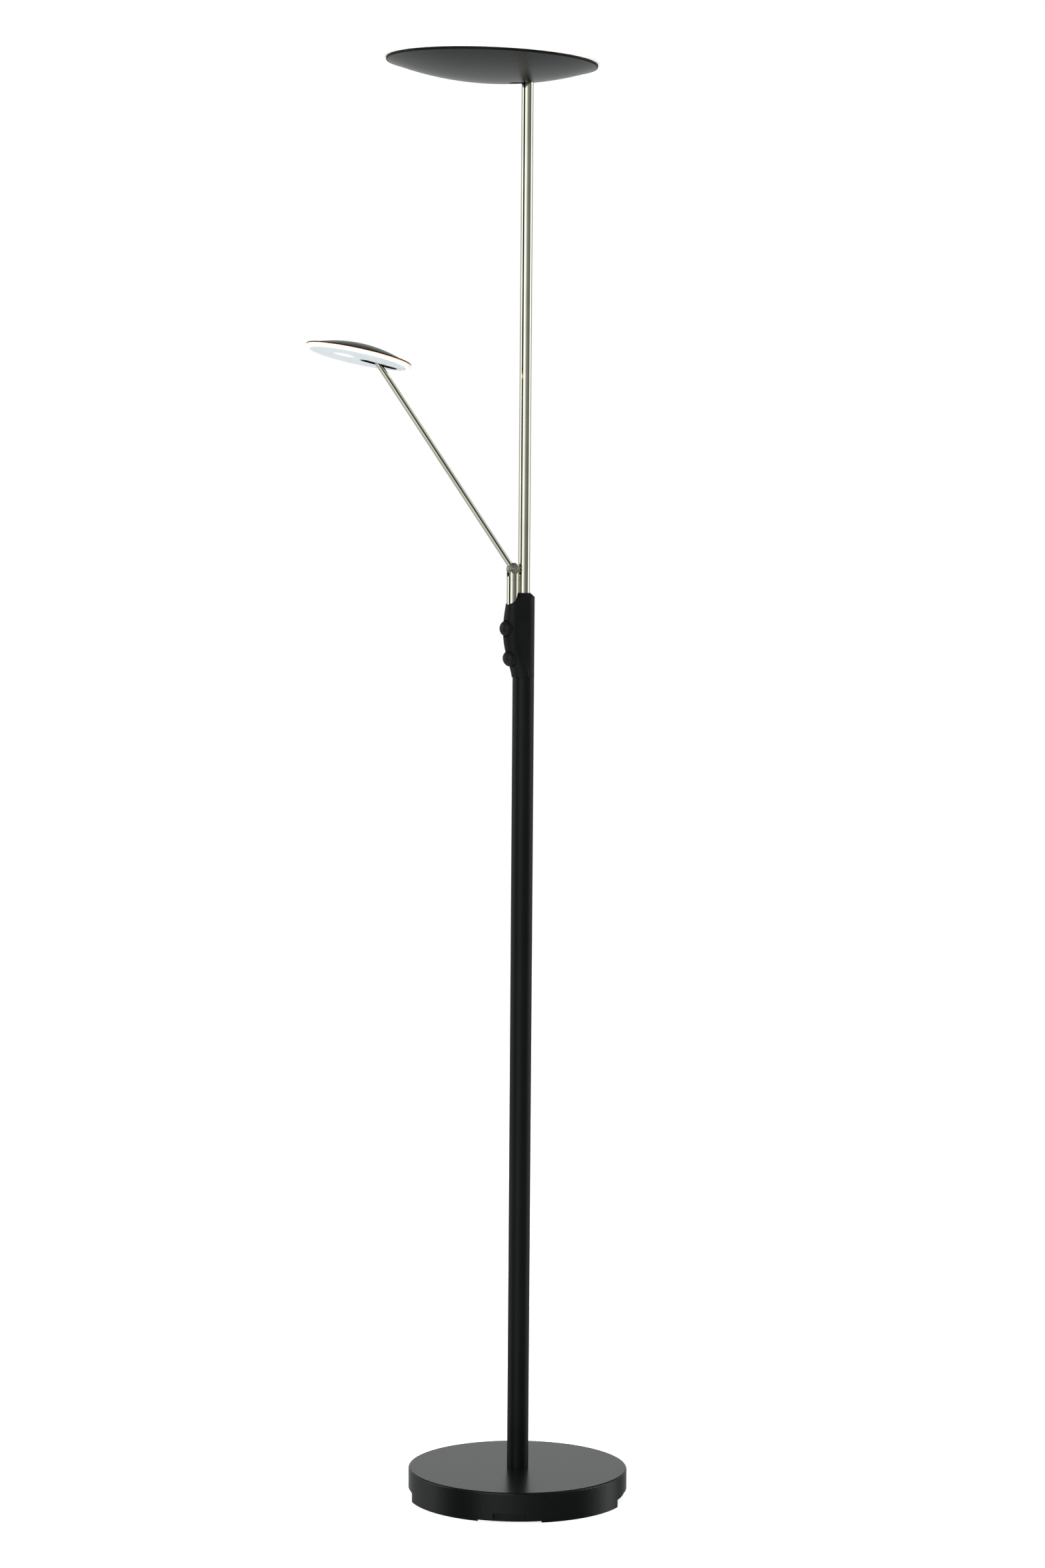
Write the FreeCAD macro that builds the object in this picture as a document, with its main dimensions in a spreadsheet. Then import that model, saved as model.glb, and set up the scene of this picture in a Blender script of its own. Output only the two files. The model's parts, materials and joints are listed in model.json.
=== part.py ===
"""Floor-standing uplighter with a reading arm, as a parametric FreeCAD document.

Frame: origin at the centre of the base on the floor, +Z up, rear cord outlet on +Y, millimetres.
The control housing and the dish's offset lie in one upright plane, turned about Z from -X by the
sheet's front_turn. The reading arm stands arm_turn off that plane in its swivel. Each sub-part is
modelled in the plain frame of its own group, and its Placement puts it on the lamp.
"""

import FreeCAD, Part
import math
import os
import re
import Sketcher

Vector = FreeCAD.Vector
Rotation = FreeCAD.Rotation
Placement = FreeCAD.Placement
X_AXIS, Y_AXIS, Z_AXIS = Vector(1, 0, 0), Vector(0, 1, 0), Vector(0, 0, 1)
RIGHT, LEFT = 1, -1

SIZES = {
    # Base
    "base_radius": 140.5,
    "base_height": 39.0,
    "base_gauge": 2.0,
    "base_edge": 2.2,
    "skirt_gap": 1.0,
    "notch_width": 42.0,
    "notch_height": 12.0,
    "step_width": 80.0,
    "step_height": 3.4,
    "recess_width": 98.0,
    "recess_radius": 128.0,
    "recess_height": 8.4,
    "pan_radius": 137.6,
    "pan_gauge": 2.0,
    "pan_height": 20.0,
    "foot_height": 2.0,
    "foot_radius": 117.0,
    "foot_width": 12.0,
    "weight_radius": 130.0,
    "weight_height": 16.0,
    "pan_screw_circle": 95.0,
    "pan_screw": 1.65,
    "stud_radius": 6.5,
    "stud_bore": 4.2,
    "stud_length": 48.0,
    "washer_height": 1.5,
    "nut_height": 7.0,
    "gland_radius": 4.8,
    "cord_bore": 3.6,
    "cord_height": 9.6,
    "driver_length": 84.0,
    "driver_width": 32.0,
    "driver_height": 13.0,
    "driver_offset": 55.0,
    # Poles
    "pole_radius": 13.8,
    "pole_bore": 12.5,
    "joint_height": 631.0,
    "housing_bottom": 1055.0,
    "fit": 0.05,
    "tube_radius": 7.5,
    "tube_bore": 6.6,
    "spigot_length": 40.0,
    # Control housing: at each level, how far in front its nose circle stands, and its radius
    "level_a": 1055.0,
    "nose_a": 1.2,
    "nose_radius_a": 13.8,
    "level_b": 1079.0,
    "nose_b": 8.8,
    "nose_radius_b": 13.4,
    "level_c": 1103.0,
    "nose_c": 14.7,
    "nose_radius_c": 13.2,
    "level_d": 1125.0,
    "nose_d": 15.0,
    "nose_radius_d": 13.1,
    "level_e": 1147.0,
    "nose_e": 15.0,
    "nose_radius_e": 10.2,
    "level_f": 1165.0,
    "nose_f": 13.5,
    "nose_radius_f": 8.0,
    "housing_wall": 2.0,
    "housing_top": 1162.0,
    "cavity_top": 1127.5,
    "roof_start": 8.2,
    "roof_slope": 0.9,
    "housing_screw": 1.25,
    # Dimmers
    "knob_radius": 10.4,
    "knob_top": 1.2,
    "knob_skirt": 2.0,
    "knob_gap": 0.4,
    "seat_wall": 2.5,
    "main_seat": 22.5,
    "main_knob_height": 1117.0,
    "reading_seat": 17.6,
    "reading_knob_height": 1079.5,
    "reading_knob_tilt": 17.0,
    "pot_width": 14.0,
    "pot_depth": 5.0,
    "pot_shaft": 3.0,
    "pot_neck": 3.5,
    # Swivel and knuckle
    "front_turn": 36.0,
    "arm_turn": -6.3,
    "stub_offset": 16.8,
    "stub_bore": 6.3,
    "bush_radius": 8.4,
    "bush_height": 9.8,
    "collar_radius": 8.8,
    "collar_height": 3.0,
    "knuckle_height": 1192.0,
    "fork_radius": 7.6,
    "fork_drop": 14.0,
    "fork_rise": 1.3,
    "ear_radius": 6.0,
    "ear_width": 13.4,
    "slot_width": 7.4,
    "slot_drop": 9.2,
    "lug_radius": 7.3,
    "lug_width": 6.0,
    "knuckle_pin": 2.0,
    # Reading arm
    "arm_radius": 3.5,
    "arm_bore": 2.7,
    "arm_length": 327.3,
    "arm_tilt": 36.3,
    "arm_end_gap": 8.0,
    "arm_ear_radius": 3.8,
    "arm_ear_width": 5.0,
    # Reading head
    "head_tilt": 12.6,
    "head_offset": 19.2,
    "head_radius": 65.5,
    "head_rise": 14.0,
    "head_crown": 10.0,
    "head_ring": 66.5,
    "head_floor": 8.5,
    "ring_height": 4.5,
    "plate_radius": 60.5,
    "plate_gauge": 1.5,
    "plate_lip": 2.0,
    "lens_radius": 15.0,
    "lens_offset": 38.8,
    "head_slot_in": 32.2,
    "head_slot_out": 13.2,
    "head_slot_width": 12.4,
    "liner_wall": 0.8,
    "liner_flange": 2.0,
    "liner_gauge": 0.4,
    "head_pin": 1.5,
    "head_cheek": 4.0,
    "shell_gauge": 1.5,
    # Uplighter dish
    "dish_tilt": 2.2,
    "dish_offset": 53.0,
    "dish_radius": 132.0,
    "dish_depth": 22.0,
    "rim_height": 2.8,
    "rim_gauge": 2.0,
    "diffuser_radius": 134.5,
    "diffuser_height": 3.0,
    "dish_pivot": 12.0,
    "dish_pivot_height": 1811.0,
    "tube_end_gap": 6.5,
    "dish_slot_in": 26.0,
    "dish_slot_out": 9.2,
    "dish_slot_width": 16.2,
    "dish_pin": 2.0,
    "dish_ear_radius": 5.0,
    "dish_ear_width": 8.0,
    "heat_plate_radius": 112.0,
    "heat_plate_floor": 4.6,
    "heat_plate_gauge": 1.5,
    "led_board_gauge": 1.6,
    "led_outer": 105.0,
    "led_inner": 60.0,
    "dish_post_circle": 85.0,
}

doc = FreeCAD.newDocument("uplighter")
sheet = doc.addObject("Spreadsheet::Sheet", "dims")
for row, (alias, value) in enumerate(SIZES.items(), start=1):
    sheet.set(f"A{row}", alias)
    sheet.set(f"B{row}", str(value))
    sheet.setAlias(f"B{row}", alias)
doc.recompute()

sub_parts = []


# ---------------------------------------------------------------------------
# Sizes and placements
# ---------------------------------------------------------------------------
def formula(text):
    """The text as a FreeCAD expression, with each size name read from the sheet."""
    return re.sub(
        r"[a-z_]+",
        lambda found: "dims." + found.group(0) if found.group(0) in SIZES else found.group(0),
        str(text),
    )


def size(text):
    """The number that a size formula comes to."""
    return float(sheet.evalExpression(formula(text)))


def bind(feature, **formulas):
    """Binds the feature's properties to formulas over the sheet's sizes."""
    for name, text in formulas.items():
        setattr(feature, name, size(text))
        feature.setExpression(name, formula(text))
    return feature


def put(feature, label, place=Placement()):
    """Names a finished sub-part and sets it on the lamp."""
    feature.Label = label
    feature.Placement = place * feature.Placement
    sub_parts.append(feature)


def shift(x=0, y=0, z=0):
    return Placement(Vector(size(x), size(y), size(z)), Rotation())


def turn(axis, angle):
    return Placement(Vector(), Rotation(axis, size(angle)))


def around(count, radius, height, first=0):
    """Places evenly spaced on a circle about Z."""
    reach = shift(radius, 0, height)
    return [turn(Z_AXIS, first + 360 * number / count) * reach for number in range(count)]


# ---------------------------------------------------------------------------
# Solids
# ---------------------------------------------------------------------------
def cylinder(radius, height, place=Placement()):
    """A cylinder from its place along the place's own +Z."""
    feature = doc.addObject("Part::Cylinder", "cylinder")
    bind(feature, Radius=radius, Height=height)
    feature.Placement = place
    return feature


def across(radius, length, place=Placement()):
    """A cylinder along Y, centred on its place."""
    return cylinder(radius, length, place * shift(y=f"({length}) / 2") * turn(X_AXIS, 90))


def outward(radius, length, place=Placement()):
    """A cylinder along +Y, from its place."""
    return cylinder(radius, length, place * turn(X_AXIS, -90))


def block(length, width, height, place=Placement()):
    """A box centred on its place in X and Y, standing on it in Z."""
    feature = doc.addObject("Part::Box", "block")
    bind(feature, Length=length, Width=width, Height=height)
    feature.Placement = place * shift(f"-({length}) / 2", f"-({width}) / 2")
    return feature


def hexagon(across_flats, height, place=Placement()):
    feature = doc.addObject("Part::Prism", "hexagon")
    feature.Polygon = 6
    bind(feature, Circumradius=f"({across_flats}) / 1.7320508", Height=height)
    feature.Placement = place
    return feature


def cone(low, high, height, place=Placement()):
    feature = doc.addObject("Part::Cone", "cone")
    bind(feature, Radius1=low, Radius2=high, Height=height)
    feature.Placement = place
    return feature


def ball(radius, place=Placement()):
    feature = doc.addObject("Part::Sphere", "ball")
    bind(feature, Radius=radius)
    feature.Placement = place
    return feature


def fuse(*pieces):
    feature = doc.addObject("Part::MultiFuse", "fusion")
    feature.Shapes = list(pieces)
    feature.Refine = True
    return feature


def group(*pieces):
    """Separate solids that share one node."""
    feature = doc.addObject("Part::Compound", "group")
    feature.Links = list(pieces)
    return feature


def cut(base, *tools):
    feature = doc.addObject("Part::Cut", "cut")
    feature.Base = base
    feature.Tool = tools[0] if len(tools) == 1 else fuse(*tools)
    feature.Refine = True
    return feature


def common(*pieces):
    feature = doc.addObject("Part::MultiCommon", "common")
    feature.Shapes = list(pieces)
    feature.Refine = True
    return feature


def ring(outer, inner, height, place=Placement()):
    return cut(cylinder(outer, height, place), cylinder(inner, height, place))


def slot(reach_in, reach_out, width, height, place=Placement()):
    """A round-ended slot along X, from -reach_in to +reach_out of its place, and upwards."""
    half = f"({width}) / 2"
    length = f"({reach_in}) + ({reach_out}) - ({width})"
    return fuse(
        block(length, width, height, place * shift(f"(({reach_out}) - ({reach_in})) / 2")),
        cylinder(half, height, place * shift(f"{half} - ({reach_in})")),
        cylinder(half, height, place * shift(f"({reach_out}) - {half}")),
    )


def origin_plane(body, role):
    for feature in body.Origin.OriginFeatures:
        if feature.Role == role:
            return feature
    raise ValueError(role)


def fix_point(sketch, line, end, x, y):
    """Ties one point of a line or arc to a place measured from the sketch's origin."""
    for kind, text in (("DistanceX", x), ("DistanceY", y)):
        index = sketch.addConstraint(Sketcher.Constraint(kind, -1, 1, line, end, size(text)))
        sketch.setExpression(f"Constraints[{index}]", formula(text))


def fix_radius(sketch, arc, radius):
    index = sketch.addConstraint(Sketcher.Constraint("Radius", arc, size(radius)))
    sketch.setExpression(f"Constraints[{index}]", formula(radius))


def arc_between(start, end, radius, bulge):
    """The short arc from start to end that bulges to the right of the way it runs, or the left."""
    chord = end - start
    side = Vector(chord.y, -chord.x, 0).normalize() * bulge
    rise = radius - math.sqrt(radius**2 - (chord.Length / 2) ** 2)
    return Part.Arc(start, (start + end) * 0.5 + side * rise, end)


def lathe(label, *corners):
    """A body turned about Z from a half outline in the XZ plane.

    A corner is (x, z), or (x, z, radius, bulge) where an arc leads on from it.
    """
    body = doc.addObject("PartDesign::Body", label)
    sketch = body.newObject("Sketcher::SketchObject", label + "_outline")
    sketch.AttachmentSupport = (origin_plane(body, "XZ_Plane"), [""])
    sketch.MapMode = "FlatFace"
    points = [Vector(size(corner[0]), size(corner[1]), 0) for corner in corners]
    starts = []
    for number, corner in enumerate(corners):
        start, end = points[number], points[(number + 1) % len(points)]
        if len(corner) == 2:
            edge = Part.LineSegment(start, end)
        else:
            edge = arc_between(start, end, size(corner[2]), corner[3])
        sketch.addGeometry(edge, False)
        starts.append(1 if sketch.getPoint(number, 1).isEqual(start, 1e-6) else 2)
    for number, corner in enumerate(corners):
        following = (number + 1) % len(corners)
        meeting = (number, 3 - starts[number], following, starts[following])
        sketch.addConstraint(Sketcher.Constraint("Coincident", *meeting))
        fix_point(sketch, number, starts[number], corner[0], corner[1])
        if len(corner) > 2:
            fix_radius(sketch, number, corner[2])
    turned = body.newObject("PartDesign::Revolution", label + "_turned")
    turned.Profile = sketch
    turned.ReferenceAxis = (sketch, ["V_Axis"])
    turned.Angle = 360
    return body


def dome(label, radius, rise, gauge, foot):
    """A shell shaped as a spherical cap, open below, its rim resting on z = foot."""
    sphere = f"((({radius}) ^ 2 + ({rise}) ^ 2) / (2 * ({rise})))"
    inner = f"({sphere} - ({gauge}))"
    inner_foot = f"sqrt({inner} ^ 2 - ({sphere} - ({rise})) ^ 2)"
    return lathe(
        label,
        ("0", f"({foot}) + ({rise}) - ({gauge})", inner, LEFT),
        (inner_foot, foot),
        (radius, foot, sphere, RIGHT),
        ("0", f"({foot}) + ({rise})"),
    )


# ---------------------------------------------------------------------------
# Base
# ---------------------------------------------------------------------------
PAN_TOP = "foot_height + pan_gauge"
WEIGHT_TOP = "base_height - base_gauge"
WEIGHT_FOOT = "base_height - base_gauge - weight_height"
REAR = turn(Z_AXIS, -90)


def make_base_cover():
    """Pressed steel cover: front and rear notches in wide shallow steps, a hand hold each side."""
    shell = lathe(
        "base_cover_shell",
        ("0", WEIGHT_TOP),
        ("base_radius - base_gauge", WEIGHT_TOP),
        ("base_radius - base_gauge", "skirt_gap"),
        ("base_radius", "skirt_gap"),
        ("base_radius", "base_height - base_edge", "base_edge", RIGHT),
        ("base_radius - base_edge", "base_height"),
        ("0", "base_height"),
    )
    tools = [cylinder("stud_radius + fit", "base_height + 1")]
    for side in (RIGHT, LEFT):
        hold = shift(f"{side} * base_radius")
        notch = turn(Z_AXIS, 90) * hold
        tools.append(block("40", "recess_width", "skirt_gap + notch_height", hold))
        tools.append(block("20", "notch_width", "skirt_gap + notch_height", notch))
        tools.append(block("20", "step_width", "skirt_gap + step_height", notch))
    put(cut(shell, *tools), "base_cover")


def make_base_weight():
    """Cast iron disc that keeps the lamp upright, held under the cover."""
    disc = cylinder("weight_radius", "weight_height", shift(z=WEIGHT_FOOT))
    tools = [cylinder("stud_radius + fit", "base_height + 1")]
    for place in around(4, "pan_screw_circle", WEIGHT_FOOT, 45):
        tools.append(cylinder("pan_screw + fit", "weight_height - 4", place))
    put(cut(disc, *tools), "base_weight")


def side_band(side, outer, inner, width, foot, height):
    """The stretch of a ring about Z that lies at one end of the X axis."""
    stretch = block("60", width, height, shift(f"{side} * base_radius", 0, foot))
    return common(ring(outer, inner, height, shift(z=foot)), stretch)


def make_base_pan():
    """Moulded tray that closes the base, with screw posts and its edge raised at each side."""
    tray = cut(
        cylinder("pan_radius", "pan_height - foot_height", shift(z="foot_height")),
        cylinder("pan_radius - pan_gauge", "pan_height", shift(z=PAN_TOP)),
    )
    posts = []
    tools = [outward("gland_radius", "10", shift(0, "pan_radius - 6", "cord_height"))]
    for side in (RIGHT, LEFT):
        posts.append(side_band(
            side, "pan_radius - 1", "recess_radius - pan_gauge", "recess_width + 2 * pan_gauge",
            "foot_height", "recess_height + pan_gauge - foot_height",
        ))
        tools.append(side_band(
            side, "base_radius", "recess_radius", "recess_width", "0", "recess_height"
        ))
    for place in around(4, "pan_screw_circle", "foot_height", 45):
        posts.append(cylinder("5", f"{WEIGHT_FOOT} - foot_height", place))
        tools.append(cylinder("pan_screw + fit", "base_height", place))
        tools.append(cylinder("4.2", "1.3", place))
    put(cut(fuse(tray, *posts), *tools), "base_pan")


def make_pan_screws():
    screws = []
    for place in around(4, "pan_screw_circle", "foot_height", 45):
        body = fuse(
            cylinder("4", "1.3", place),
            cylinder("pan_screw", f"{WEIGHT_FOOT} + 9 - foot_height", place),
        )
        recess = fuse(block("5", "1", "0.7", place), block("1", "5", "0.7", place))
        screws.append(cut(body, recess))
    put(group(*screws), "pan_screws")


def make_stud():
    """Hollow threaded stud through the weight and cover, with its washer and nut."""
    under = shift(z=f"{WEIGHT_FOOT} - washer_height - nut_height")
    put(ring("stud_radius", "stud_bore", "stud_length", under * shift(z="-1.5")), "pole_stud")
    washer_place = shift(z=f"{WEIGHT_FOOT} - washer_height")
    put(ring("14", "stud_radius + fit", "washer_height", washer_place), "stud_washer")
    nut = cut(hexagon("22", "nut_height", under), cylinder("stud_radius + fit", "20", under))
    put(nut, "stud_nut")


def make_gland():
    """Bush with a flange each side of the tray's wall, where the supply cord enters."""
    wall = shift(0, "pan_radius - pan_gauge", "cord_height")
    solid = fuse(
        outward("gland_radius + 0.6", "1.5", wall * shift(y="-1.7")),
        outward("gland_radius - fit", "pan_gauge + 1", wall * shift(y="-0.5")),
        outward("gland_radius + 0.6", "0.7", wall * shift(y="pan_gauge")),
    )
    put(cut(solid, outward("cord_bore", "20", wall * shift(y="-8"))), "cord_gland")


def make_driver():
    """Power supply for both lamps, in its case on the tray."""
    floor = shift(0, "-driver_offset", PAN_TOP)
    case = cut(
        block("driver_length", "driver_width", "driver_height", floor),
        block("driver_length - 4", "driver_width - 4", "driver_height", floor * shift(z="2")),
    )
    put(case, "driver_case")
    lid_place = floor * shift(z="driver_height")
    put(block("driver_length", "driver_width", "1.4", lid_place), "driver_lid")
    board = fuse(
        block("driver_length - 6", "driver_width - 6", "1.6", floor * shift(z="2")),
        block("20", "17", "7", floor * shift("-22", 0, "3.6")),
        block("12", "20", "5", floor * shift("22", 0, "3.6")),
        cylinder("4.5", "7", floor * shift("3", "4", "3.6")),
    )
    put(board, "driver_board")


# ---------------------------------------------------------------------------
# Poles
# ---------------------------------------------------------------------------
TUBE_FOOT = "housing_bottom - 35"
TUBE_TOP = "dish_pivot_height - tube_end_gap"
SET_SCREW = shift(0, "tube_radius", "housing_bottom + 7")


def make_pole(label, foot, top):
    """A steel tube section with its upper outer edge eased."""
    tube = lathe(
        label,
        ("pole_bore", foot),
        ("pole_radius", foot),
        ("pole_radius", f"({top}) - 0.4", "0.4", RIGHT),
        ("pole_radius - 0.4", top),
        ("pole_bore", top),
    )
    put(tube, label)


def make_poles():
    make_pole("lower_pole", "base_height", "joint_height")
    make_pole("middle_pole", "joint_height", "housing_bottom")
    plug = "pole_bore - fit"
    put(ring(plug, "stud_radius + fit", "25", shift(z="base_height")), "pole_foot_insert")
    put(ring(plug, "10", "60", shift(z="joint_height - 30")), "pole_coupler")
    spigot = fuse(
        cylinder(plug, "spigot_length", shift(z="housing_bottom - spigot_length")),
        cylinder(f"{plug} - 1.15", "15", shift(z="housing_bottom")),
    )
    bores = (
        cylinder("tube_radius + fit", "spigot_length + 30", shift(z="housing_bottom - 50")),
        outward("2.05", "9", SET_SCREW),
    )
    put(cut(spigot, *bores), "pole_spigot")
    socket = hexagon("2", "1.6", SET_SCREW * shift(y="1.8") * turn(X_AXIS, -90))
    put(cut(outward("2", "3.4", SET_SCREW), socket), "tube_set_screw")
    tube = lathe(
        "upper_tube",
        ("tube_bore", TUBE_FOOT),
        ("tube_radius", TUBE_FOOT),
        ("tube_radius", f"{TUBE_TOP} - 0.4", "0.4", RIGHT),
        ("tube_radius - 0.4", TUBE_TOP),
        ("tube_bore", TUBE_TOP),
    )
    put(tube, "upper_tube")


# ---------------------------------------------------------------------------
# Control housing
# ---------------------------------------------------------------------------
FRONT = turn(Z_AXIS, "front_turn")
STUB = shift("-stub_offset")
MAIN_SEAT = shift("-main_seat", 0, "main_knob_height") * turn(Y_AXIS, "-90")
READING_SEAT = shift("-reading_seat", 0, "reading_knob_height") * turn(
    Y_AXIS, "-90 - reading_knob_tilt"
)
HOUSING_SCREWS = (
    shift("-19.5", "6", "1098"),
    shift("10.6", "5", "cavity_top + 18"),
)


def section(level, mark, inset):
    """A housing section: the pole's circle and a nose circle in front, joined by tangents."""
    nose = f"nose_{mark}"
    rear_radius = f"pole_radius - {inset}"
    front_radius = f"nose_radius_{mark} - {inset}"
    sketch = doc.addObject("Sketcher::SketchObject", "housing_section")
    sketch.Placement = shift(z=level)
    rear, front, reach = size(rear_radius), size(front_radius), size(nose)
    lean = math.asin((rear - front) / reach)
    upper = Vector(-math.sin(lean), math.cos(lean), 0)
    lower = Vector(upper.x, -upper.y, 0)
    centre = Vector(-reach, 0, 0)
    outline = [
        Part.Arc(lower * rear, Vector(rear, 0, 0), upper * rear),
        Part.LineSegment(upper * rear, centre + upper * front),
        Part.Arc(centre + upper * front, centre - X_AXIS * front, centre + lower * front),
        Part.LineSegment(centre + lower * front, lower * rear),
    ]
    sketch.addGeometry(outline, False)
    for number in range(4):
        sketch.addConstraint(Sketcher.Constraint("Tangent", number, 2, (number + 1) % 4, 1))
    fix_point(sketch, 0, 3, "0", "0")
    fix_point(sketch, 2, 3, f"-({nose})", "0")
    fix_radius(sketch, 0, rear_radius)
    fix_radius(sketch, 2, front_radius)
    return sketch


def housing_loft(levels, inset):
    feature = doc.addObject("Part::Loft", "housing_loft")
    feature.Sections = [section(level, mark, inset) for level, mark in levels]
    feature.Solid = True
    return feature


def make_housing():
    """Two moulded halves that meet in the upright plane, with a seat for each dimmer."""
    outer = housing_loft([(f"level_{mark}", mark) for mark in "abcdef"], "0")
    roof_foot = "(roof_start + 40 / roof_slope)"
    roof = fuse(
        cone(roof_foot, "roof_start", "40", shift(z="housing_top - 40")),
        cylinder(roof_foot, "80", shift(z="housing_top - 120")),
    )
    levels = [("level_a - 1", "a"), ("level_b", "b"), ("level_c", "c"), ("cavity_top", "d")]
    hollow = housing_loft(levels, "housing_wall")
    pads = [
        cylinder("knob_radius + 2.2", "8", seat * shift(z="-seat_wall"))
        for seat in (MAIN_SEAT, READING_SEAT)
    ]
    bosses = [across("3.2", "40", place * shift(y="-6")) for place in HOUSING_SCREWS[:1]]
    walls = common(fuse(cut(outer, hollow), *pads, *bosses), outer, roof)
    above = STUB * shift(z="cavity_top")
    tools = [
        cylinder("tube_radius + fit", "200", shift(z="housing_bottom - 1")),
        cylinder("5", "10", above * shift(z="-1")),
        cylinder("collar_radius + 0.4", "3.5", above * shift(z="2")),
        cylinder("bush_radius", "bush_height + 0.2", above * shift(z="5.5")),
        cylinder("tube_radius + 0.3", "60", above * shift(z="5")),
    ]
    for seat in (MAIN_SEAT, READING_SEAT):
        tools.append(cylinder("knob_radius + 0.5", "30", seat))
        tools.append(cylinder("pot_neck + 0.1", "5", seat * shift(z="-4")))
    for place in HOUSING_SCREWS:
        tools.append(across("housing_screw + fit", "11.5", place * shift(y="-5.5")))
        tools.append(outward("2.6", "20", place))
    whole = cut(walls, *tools)
    put(common(whole, block("120", "60", "200", shift(0, "-30", "1000"))), "housing_left", FRONT)
    put(common(whole, block("120", "60", "200", shift(0, "30", "1000"))), "housing_right", FRONT)


def make_housing_screws():
    screws = []
    for place in HOUSING_SCREWS:
        body = fuse(
            outward("2.4", "1.8", place),
            outward("housing_screw", "10", place * shift(y="-10")),
        )
        recess = place * shift(y="1.8") * turn(X_AXIS, 90)
        screws.append(cut(body, block("3", "0.7", "0.8", recess), block("0.7", "3", "0.8", recess)))
    put(group(*screws), "housing_screws", FRONT)


def make_dimmer(label, seat):
    """Rotary dimmer behind the seat, its threaded neck through the housing wall."""
    behind = seat * shift(z="-seat_wall - pot_depth")
    solid = fuse(
        block("pot_width", "pot_width", "pot_depth", behind),
        cylinder("pot_neck", "pot_depth + seat_wall", behind),
    )
    put(cut(solid, cylinder("pot_shaft + fit", "20", behind * shift(z="1"))), label, FRONT)


def make_knob(label, seat):
    """Domed knob on its shaft, turned from a half outline."""
    dome_radius = "knob_radius - knob_top"
    cap = lathe(
        label + "_cap",
        ("0", "knob_gap"),
        ("knob_radius", "knob_gap"),
        ("knob_radius", "knob_skirt", dome_radius, RIGHT),
        ("knob_top", f"knob_skirt + {dome_radius}"),
        ("0", f"knob_skirt + {dome_radius}"),
    )
    hollow = ring("knob_radius - 1.5", "4.6", "4", shift(z="knob_gap - 1"))
    bore = cylinder("pot_shaft", "6", shift(z="0"))
    pip = cylinder("0.5", "0.5", shift(z=f"knob_skirt + {dome_radius} - 0.1"))
    put(fuse(cut(cap, hollow, bore), pip), label, FRONT * seat)
    shaft = cylinder("pot_shaft", "6 + seat_wall + 3", shift(z="-seat_wall - 3"))
    put(shaft, label + "_shaft", FRONT * seat)


def make_controls():
    make_dimmer("main_dimmer", MAIN_SEAT)
    make_dimmer("reading_dimmer", READING_SEAT)
    make_knob("main_knob", MAIN_SEAT)
    make_knob("reading_knob", READING_SEAT)
    board_x = "-main_seat + seat_wall + pot_depth + 0.8"
    board = block("1.6", "18", "24", shift(board_x, 0, "main_knob_height - 15"))
    put(board, "dimmer_board", FRONT)


# ---------------------------------------------------------------------------
# Swivel and knuckle
# ---------------------------------------------------------------------------
SWIVEL = FRONT * STUB * turn(Z_AXIS, "arm_turn")
COLLAR_FOOT = "(cavity_top + 2.4)"
FORK_FOOT = "(knuckle_height - fork_drop)"
ARM = SWIVEL * shift(z="knuckle_height") * turn(Y_AXIS, "-arm_tilt")


def make_swivel():
    """Upright stub that turns in the housing's bush, held by its collar."""
    bush_foot = shift(z="cavity_top + 5.6")
    bush = ring("bush_radius - fit", "tube_radius + fit", "bush_height", bush_foot)
    put(bush, "swivel_bush", SWIVEL)
    collar = ring("collar_radius", "tube_radius", "collar_height", shift(z=COLLAR_FOOT))
    put(collar, "swivel_collar", SWIVEL)
    stub = ring("tube_radius", "stub_bore", f"{FORK_FOOT} - {COLLAR_FOOT}", shift(z=COLLAR_FOOT))
    put(stub, "stub_tube", SWIVEL)


def make_fork():
    """Round-topped fork on the stub, slotted for the arm's lug, with a disc on each cheek."""
    knuckle = shift(z="knuckle_height")
    post = fuse(
        cylinder("fork_radius", "fork_drop + fork_rise", knuckle * shift(z="-fork_drop")),
        ball("fork_radius", knuckle * shift(z="fork_rise")),
        across("ear_radius", "ear_width", knuckle),
        cylinder("stub_bore - fit", "8", knuckle * shift(z="-fork_drop - 8")),
    )
    tools = (
        block("30", "slot_width", "40", knuckle * shift(z="-slot_drop")),
        across("knuckle_pin + fit / 2", "30", knuckle),
        cylinder("2.5", "20", knuckle * shift(z="-fork_drop - 10")),
        outward("ear_radius", "2", knuckle * shift(y="ear_width / 2")),
        outward("ear_radius", "2", knuckle * shift(y="-ear_width / 2 - 2")),
    )
    put(cut(post, *tools), "fork", SWIVEL)
    side = knuckle * shift(y="-ear_width / 2")
    head = cut(
        outward("3.6", "1.3", side * shift(y="-1.3")),
        block("4.2", "0.8", "0.8", side * shift(y="-1.3") * turn(X_AXIS, -90)),
        block("0.8", "4.2", "0.8", side * shift(y="-1.3") * turn(X_AXIS, -90)),
    )
    shank = outward("knuckle_pin", "ear_width + 1.2", side)
    put(fuse(head, shank), "fork_screw", SWIVEL)
    far = knuckle * shift(y="ear_width / 2") * turn(X_AXIS, -90)
    nut = cut(hexagon("6.6", "1.3", far), cylinder("knuckle_pin + fit / 2", "1.3", far))
    put(nut, "fork_nut", SWIVEL)
    washers = []
    for start in ("lug_width / 2 + 0.1", "-lug_width / 2 - 0.6"):
        place = knuckle * shift(y=start)
        washers.append(
            cut(outward("5", "0.5", place), outward("knuckle_pin + fit / 2", "0.5", place))
        )
    put(group(*washers), "fork_washers", SWIVEL)


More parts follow.
